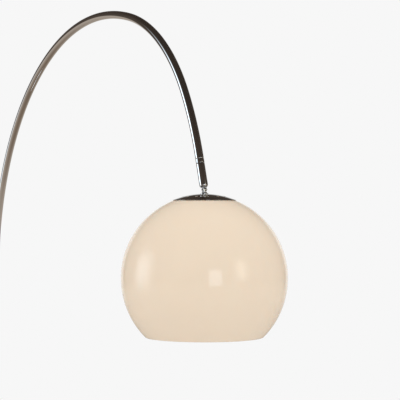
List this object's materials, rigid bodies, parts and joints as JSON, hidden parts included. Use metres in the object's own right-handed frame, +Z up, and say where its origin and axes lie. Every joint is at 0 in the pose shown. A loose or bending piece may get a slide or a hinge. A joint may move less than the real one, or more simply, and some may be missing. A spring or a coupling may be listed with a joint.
{
  "type": "arc floor lamp",
  "caption": "Arc floor lamp: a chromed tube bows from a heavy round base and carries a cut-off cream globe shade on a swivelling stem and a tilting knuckle.",
  "frame": {"origin": "centre of the base's underside, on the column's axis", "axes": "+Z up along the column, +X from the column towards the shade"},
  "size_m": [1.6209, 0.4, 1.9999],
  "materials": {
    "chrome": "polished",
    "zinc_steel": "zinc plated, satin",
    "black_steel": "black oxide",
    "brass": "turned",
    "nylon": "black nylon, matt",
    "felt": "pressed wool felt",
    "marble": "polished white marble with grey veins",
    "rubber": "moulded, matt",
    "cable": "round two-core flex, matt",
    "acrylic": "cream opal acrylic, high gloss",
    "gasket": "soft white ring",
    "phenolic": "moulded black phenolic",
    "ceramic": "glazed steatite",
    "nickel": "rolled nickel-plated thread",
    "opal_glass": "opal white, glossy"
  },
  "bodies": {
    "base": {"felt_pad": "felt", "marble_base": "marble", "foot_flange": "chrome", "hollow_stud": "zinc_steel", "clamp_washer": "zinc_steel", "clamp_nut": "zinc_steel", "cable_outlet": "rubber", "base_cable": "cable", "bearing_washer": "nylon"},
    "column": {"column_tube": "chrome", "column_foot": "chrome", "retaining_screws": "black_steel", "stop_ring": "nylon", "guide_bush": "nylon", "clamp_collar": "chrome"},
    "lock_pad": {"lock_pad": "brass"},
    "thumb_screw": {"thumb_screw": "black_steel", "thumb_knob": "chrome"},
    "arc": {"leg_tube": "chrome", "leg_glide": "nylon", "joint_spigot": "zinc_steel", "joint_screws": "black_steel", "arc_tube": "chrome", "end_plug": "zinc_steel", "spindle": "zinc_steel", "swivel_band": "chrome", "swivel_washer": "nylon", "swivel_nut": "zinc_steel", "arc_cable": "cable"},
    "stem": {"stem_sleeve": "chrome", "swivel_bush": "brass", "knuckle_upper": "chrome"},
    "head": {"knuckle_lower": "chrome", "friction_washer": "nylon", "pivot_screw": "chrome", "pivot_nut": "chrome", "shade_cap": "chrome", "globe_shade": "acrylic", "shade_gasket": "gasket", "gallery": "zinc_steel", "nipple": "zinc_steel", "gallery_washer": "zinc_steel", "gallery_nut": "zinc_steel", "holder_cap": "phenolic", "holder_skirt": "phenolic", "holder_core": "ceramic", "centre_contact": "brass", "bulb_screw_cap": "nickel", "bulb_glass": "opal_glass", "head_cable": "cable"}
  },
  "joints": [
    {"name": "column_swivel", "type": "hinge", "parent": "base", "child": "column", "pos_m": [0, 0, 0.0815], "axis": [0, 0, 1], "range_deg": [-170, 170]},
    {"name": "height_slide", "type": "slide", "parent": "column", "child": "arc", "axis": [0, 0, 1], "range_m": [0, 0.2]},
    {"name": "lock_travel", "type": "slide", "parent": "column", "child": "lock_pad", "axis": [-1, 0, 0], "range_m": [0, 0.0026]},
    {"name": "thumb_turn", "type": "hinge", "parent": "lock_pad", "child": "thumb_screw", "pos_m": [-0.024, 0, 0.888], "axis": [-1, 0, 0], "range_deg": [0, 720]},
    {"name": "stem_swivel", "type": "hinge", "parent": "arc", "child": "stem", "pos_m": [1.2101, 0, 1.60074], "axis": [0.2924, 0, -0.9563], "range_deg": [-160, 160]},
    {"name": "head_tilt", "type": "hinge", "parent": "stem", "child": "head", "pos_m": [1.228, 0, 1.54221], "axis": [0, 1, 0], "range_deg": [-45, 45]}
  ],
  "couplings": [
    {"joint": "lock_travel", "follows": "thumb_turn", "m_per_rad": 0.00019894}
  ]
}
